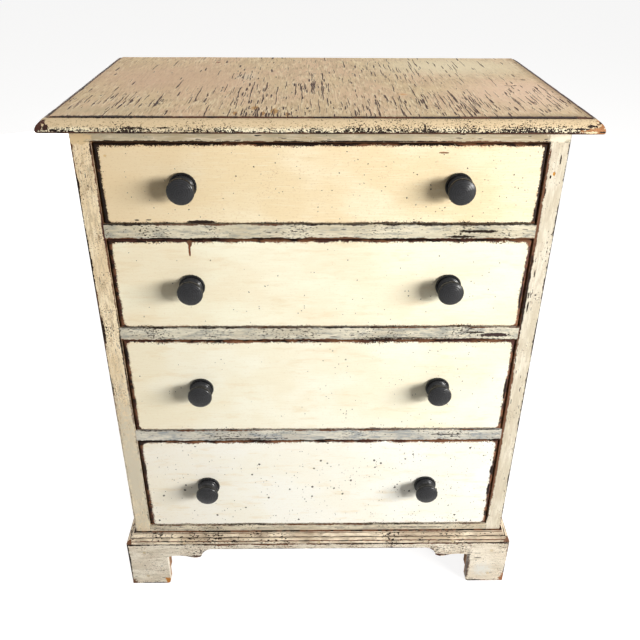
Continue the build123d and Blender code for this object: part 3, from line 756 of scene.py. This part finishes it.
# ============================================================ drawer fronts
# Four pine boards, each a little deeper than the one above, with softly rounded edges and painted a
# warmer cream than the case. The edges are rubbed to dark wood all round, so the paint is a panel.
def build_panel(tree, given):
    """How far outside a round-cornered panel a spot lies. Inside it the distance is below zero."""
    out = vector(tree, "ABSOLUTE", vector(tree, "SUBTRACT", given["Place"], given["Centre"]))
    out = vector(tree, "ADD", vector(tree, "SUBTRACT", out, given["Half"]), given["Corner"])
    x, y, z = add(tree, "SeparateXYZ", {0: out})
    inside = sums(tree, "MINIMUM", larger(tree, x, z), 0.0)
    outside = vector(tree, "MULTIPLY", vector(tree, "MAXIMUM", out, (0, 0, 0)), (1, 0, 1))
    corner = vector(tree, "LENGTH", vector(tree, "MULTIPLY", given["Corner"], (1, 0, 0)))
    edge = less(tree, plus(tree, inside, vector(tree, "LENGTH", outside)), corner)
    fine = cloud(tree, given["Place"], 1.2 * mm, detail=4.0, rough=0.75)
    slow = cloud(tree, given["Place"], 12 * mm, detail=1.0)
    ragged = less(tree, sums(tree, "MULTIPLY_ADD", fine, 1.8, slow), 1.4)
    return [plus(tree, edge, times(tree, ragged, given["Ragged"]))]


panel = group("painted_panel", {"Place": ("Vector", (0, 0, 0)), "Centre": ("Vector", (0, 0, 0)),
                                "Half": ("Vector", (1, 1, 1)), "Corner": ("Vector", (0, 0, 0)),
                                "Ragged": ("Float", mm)}, {"Outside": "Float"}, build_panel)
bare_left = 2.9 * mm
bare_right = 2.3 * mm
bare_top = 1.2 * mm
bare_bottom = 1.0 * mm
front_tones = {1: ((250, 236, 203), (244, 224, 184)), 2: ((254, 250, 226), (250, 240, 212)),
               3: ((254, 251, 232), (250, 243, 218)), 4: ((255, 254, 245), (253, 250, 236))}
front_marks = {
    1: [((-83, 358.2), (11, 1.1), black_brown), ((81, 407.4), (4, 0.7), screen(150, 116, 84)),
        ((-143.5, 405), (1.2, 1.2), screen(226, 196, 146)), ((-128, 359.4), (1.6, 0.6), black_brown),
        ((-120, 359.6), (2.4, 0.5), black_brown)],
    2: [((-93, 342), (1.9, 2.8), worn_brown), ((-93.4, 337), (0.8, 5.4), screen(120, 70, 44)),
        ((148.6, 300), (1.0, 12), black_brown)],
    3: [((148.6, 215), (1.2, 10), black_brown), ((-149, 250), (1.4, 4), black_brown)],
    4: [((148.4, 130), (1.6, 5), black_brown), ((148.4, 108), (1.4, 7), black_brown),
        ((-60, 67.6), (20, 0.8), black_brown)]}
fly_specks = {1: 0.16, 2: 0.1, 3: 0.14, 4: 0.36}
for number in (1, 2, 3, 4):
    name = f"drawer_{number}_front"
    low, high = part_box(name)
    first = number == 1
    material, tree, shader, here = start_material(f"painted_drawer_{number}")
    x, y, z = add(tree, "SeparateXYZ", {0: here})
    wood = bare_pine(tree, here, "x")
    light, dark = front_tones[number]
    coat = tint(tree, ramp(tree, cloud(tree, here, 34 * mm, (1.6, 1, 1), 3.0), 0.38, 0.62),
                screen(*light), screen(*dark))
    brushed = cloud(tree, here, 0.7 * mm, (22, 1, 1), 3.0)
    coat = tint(tree, ramp(tree, brushed, 0.45, 0.75, 0.0, 0.3), coat,
                screen(*[part - 12 for part in dark]))
    coat = tint(tree, ramp(tree, brushed, 0.5, 0.25, 0.0, 0.3), coat, screen(255, 252, 236))
    stain = cloud(tree, here, 5 * mm, (5, 1, 1), 4.0, 0.65, (number, 2, 3))
    coat = tint(tree, ramp(tree, stain, 0.52, 0.72, 0.0, 0.4), coat, screen(236, 216, 176))
    dots = use(tree, flakes, Place=here, Size=(0.9 * mm,) * 3, Amount=0.06 if first else 0.02,
               Bunching=0.5)[0]
    coat = tint(tree, times(tree, dots, 0.4), coat, screen(186, 150, 108))
    # Darker and yellower towards the left end, most on the top drawer: painted shade, as on the side away
    # from the lamp.
    tone_shift = ramp(tree, x, -40 * mm, -150 * mm, 0.0, 0.7 if first else 0.2)
    coat = tint(tree, tone_shift, coat, screen(230, 206, 166))
    grit = cloud(tree, here, 1.2 * mm, (1.6, 1, 1), 3.0, 0.7, (0, 0, number))
    coat = tint(tree, ramp(tree, grit, 0.54, 0.7, 0.0, 0.5 if first else 0.2), coat,
                screen(214, 184, 140))
    busy = times(tree, ramp(tree, x, -60 * mm, 110 * mm, 0.35, 1.0), 2.2 * fly_specks[number])
    swarm = cloud(tree, here, 20 * mm, shift=(0, number, 0))
    busy = times(tree, busy, ramp(tree, swarm, 0.4, 0.62, 0.1, 1.0))
    specks = 0.0
    for size, width in ((2.4 * mm, 0.24), (6.5 * mm, 0.17 if number == 4 else 0.1)):
        layer = use(tree, splits, Place=here, Size=(size,) * 3, Waver=(1.3 * mm,) * 3,
                    Shake=(0.9 * mm,) * 3, Density=busy, Width=width)[0]
        specks = larger(tree, specks, layer)
    coat = tint(tree, specks, coat, screen(40, 30, 24))

    # The edges are rubbed bare, and crumbs of paint have gone beside them.
    centre = ((low.x + high.x + bare_left - bare_right) / 2, 0,
              (low.z + high.z + bare_bottom - bare_top) / 2)
    half = ((high.x - low.x - bare_left - bare_right) / 2, 1.0,
            (high.z - low.z - bare_bottom - bare_top) / 2)
    corner = 2.6 * mm if first else 3.8 * mm
    outside = use(tree, panel, Place=here, Centre=centre, Half=half, Corner=(corner, 0, corner),
                  Ragged=2.4 * mm)[0]
    bare = ramp(tree, outside, -0.1 * mm, 0.1 * mm)
    near_edge = ramp(tree, outside, -4 * mm, 0.2 * mm, -0.2, 0.2)
    crumbs = use(tree, flakes, Place=here, Size=(1.1 * mm,) * 3, Amount=near_edge, Bunching=0.7)[0]
    coat = tint(tree, crumbs, coat, black_brown)
    halo = ramp(tree, outside, -1.6 * mm, 0.0, 0.0, 0.5)
    halo = times(tree, halo, ramp(tree, cloud(tree, here, 3 * mm, detail=2.0), 0.45, 0.6))
    coat = tint(tree, halo, coat, screen(178, 134, 88))
    start = 0.56 if first else 0.44
    bare_tones = cloud(tree, here, 10 * mm, (3, 1, 1), 2.0, shift=(number, 0, 0))
    worn_tone = tint(tree, ramp(tree, bare_tones, start, start + 0.1),
                     black_brown if first else red_brown, screen(120, 80, 56))
    blacks = cloud(tree, here, 4 * mm, (3, 1, 1), 3.0)
    worn_tone = tint(tree, ramp(tree, blacks, 0.5, 0.6), worn_tone, black_brown)
    coat = tint(tree, bare, coat, worn_tone)
    dug = bare
    for (mark_x, mark_z), (reach_x, reach_z), colour in front_marks[number]:
        spot = oval(tree, here, (mark_x, low.y / mm, mark_z), (reach_x, 4, reach_z), 1.5, 0.12)
        coat = tint(tree, spot, coat, colour)
        dug = larger(tree, dug, spot)
    cover = ramp(tree, y, low.y + 3.2 * mm, low.y + 2.4 * mm)
    colour = tint(tree, cover, wood["Colour"], coat)
    height = plus(tree, less(tree, 1.0, dug), times(tree, brushed, 0.3))
    height = less(tree, height, times(tree, specks, 0.3))
    end_material(tree, shader, colour, plus(tree, 0.45, times(tree, dug, 0.3)), height, 0.3 * mm)
    dress(name, material)

# ============================================================ drawer boxes
# The sides, back and bottom of each drawer are thin unpainted pine, paler than the case inside because
# they are handled less. They are nailed together, and the bottoms slide into grooves.
for number in (1, 2, 3, 4):
    for part, grain in (("side_left", "y"), ("side_right", "y"), ("back", "x"), ("bottom", "x")):
        name = f"drawer_{number}_{part}"
        material, tree, shader, here = start_material("bare_" + name)
        wood = bare_pine(tree, here, grain, (206, 164, 112), (156, 108, 64), 5 * mm)
        dirt = cloud(tree, here, 26 * mm, detail=3.0, shift=(number, 0, 0))
        dirt = ramp(tree, dirt, 0.44, 0.7, 0.0, 0.4)
        scuff_size = [2.4 * mm * stretch for stretch in grain_along[grain]]
        scuffs = use(tree, splits, Place=here, Size=scuff_size, Waver=(mm,) * 3, Density=0.2,
                     Width=0.18)[0]
        low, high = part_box(name)
        rubbed = use(tree, worn_edge, Place=here, Low=low, High=high, Width=0.6 * mm, Ragged=1.5 * mm)[0]
        colour = tint(tree, dirt, wood["Colour"], screen(124, 88, 56))
        colour = tint(tree, times(tree, rubbed, 0.5), colour, screen(104, 70, 42))
        colour = tint(tree, times(tree, scuffs, 0.5), colour, black_brown)
        end_material(tree, shader, colour, 0.7, less(tree, wood["Height"], scuffs), 0.15 * mm)
        dress(name, material)

# ============================================================ knobs
# Eight turned mushroom knobs, each with a flange, a bead and a neck, glued into the fronts. They are
# painted a satin charcoal, with faint rings left by the turning and a little shine worn on the crown.
# The outer rim of each head and flange is painted darker, as painted shade where it turns away.
for number in (1, 2, 3, 4):
    for side in ("left", "right"):
        name = f"drawer_{number}_knob_{side}"
        low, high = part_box(name)
        centre = (low + high) / 2
        material, tree, shader, here = start_material("charcoal_" + name)
        away = vector(tree, "MULTIPLY", vector(tree, "SUBTRACT", here, centre), (1, 0, 1))
        radius = vector(tree, "LENGTH", away)
        rings = sums(tree, "SINE", times(tree, radius, 2 * math.pi / (1.4 * mm)))
        mottle = cloud(tree, here, 2.5 * mm, detail=3.0, rough=0.6)
        colour = tint(tree, ramp(tree, mottle, 0.35, 0.7), screen(19, 19, 21), screen(29, 29, 32))
        # The rim is painted darker: painted shade where the rounded edge turns away from the light.
        colour = tint(tree, ramp(tree, radius, 7.8 * mm, 9.4 * mm, 0.0, 0.6), colour, screen(16, 16, 18))
        colour = tint(tree, ramp(tree, rings, 0.6, 1.0, 0.0, 0.14), colour, screen(96, 96, 100))
        rough = plus(tree, 0.18, times(tree, mottle, 0.22))
        height = plus(tree, times(tree, rings, 0.5), mottle)
        end_material(tree, shader, colour, rough, height, 0.08 * mm, 0.34)
        dress(name, material)


# ============================================================ floor and light
# A plain pale studio floor in a white room, with soft panels overhead, behind and to the left. One
# broad lamp stands in front and to the right, a little above the top, and throws the knobs' shadows.
def looked_at(tree):
    """One where the viewer sees a thing directly, mirrored or through glass, and zero elsewhere."""
    paths = add(tree, "LightPath")
    mirrored = larger(tree, paths["Is Glossy Ray"], paths["Is Transmission Ray"])
    return larger(tree, paths["Is Camera Ray"], mirrored)


def hang(name, light, place, target):
    """Hangs a light at a place and turns it to a target."""
    hung = bpy.data.objects.new(name, light)
    bpy.context.scene.collection.objects.link(hung)
    hung.location = place
    hung.rotation_mode = "QUATERNION"
    hung.rotation_quaternion = (place - target).to_track_quat("Z", "Y")


reach = 12.0
floor_mesh = bpy.data.meshes.new("studio_floor")
floor_mesh.from_pydata([(-reach, -reach, 0), (reach, -reach, 0), (reach, reach, 0), (-reach, reach, 0)],
                       [], [(0, 1, 2, 3)])
studio_floor = bpy.data.objects.new("studio_floor", floor_mesh)
bpy.context.scene.collection.objects.link(studio_floor)
floor_white, tree, shader, here = start_material("floor_white")
shader.inputs["Base Color"].default_value = (0.32, 0.32, 0.32, 1)
shader.inputs["Roughness"].default_value = 0.9
shader.inputs["Specular IOR Level"].default_value = 0.0
strength = times(tree, looked_at(tree), 0.88)
glow = add(tree, "Emission", {"Color": (1, 1, 1, 1), "Strength": strength})
both = add(tree, "AddShader", {0: shader.outputs[0], 1: glow[0]})
tree.links.new(both[0], tree.nodes["Material Output"].inputs[0])
floor_mesh.materials.append(floor_white)

room = bpy.data.worlds.new("white_room")
bpy.context.scene.world = room
room.use_nodes = True
tree = room.node_tree
seen = looked_at(tree)
walls = tree.nodes["Background"].inputs
fill(tree, walls["Color"], tint(tree, seen, (1.0, 0.94, 0.86, 1), (1.0, 1.0, 1.0, 1)))
fill(tree, walls["Strength"], ramp(tree, seen, 0.0, 1.0, 0.13, 1.0))

lamp = bpy.data.lights.new("window_lamp", "AREA")
lamp.shape = "RECTANGLE"
lamp.size = 0.8
lamp.size_y = 0.28
lamp.energy = 37.0
lamp.color = (1.0, 0.985, 0.955)
hang("window_lamp", lamp, Vector((1.23, case_front - 0.79, 0.62)), Vector((0, case_front, cad_high.z * 0.55)))
for name, power, size, place in (("ceiling_panel", 12.0, 1.6, Vector((0, 0.2, 1.9))),
                                 ("back_panel", 11.0, 0.6, Vector((-0.7, 1.5, 0.15))),
                                 ("left_panel", 12.0, 0.5, Vector((-1.35, 0.4, 0.18)))):
    soft_panel = bpy.data.lights.new(name, "AREA")
    soft_panel.size = size
    soft_panel.energy = power
    soft_panel.color = (1.0, 0.97, 0.92)
    hang(name, soft_panel, place, Vector((0, 0, 0.2)))

bpy.context.scene.view_settings.view_transform = "Standard"
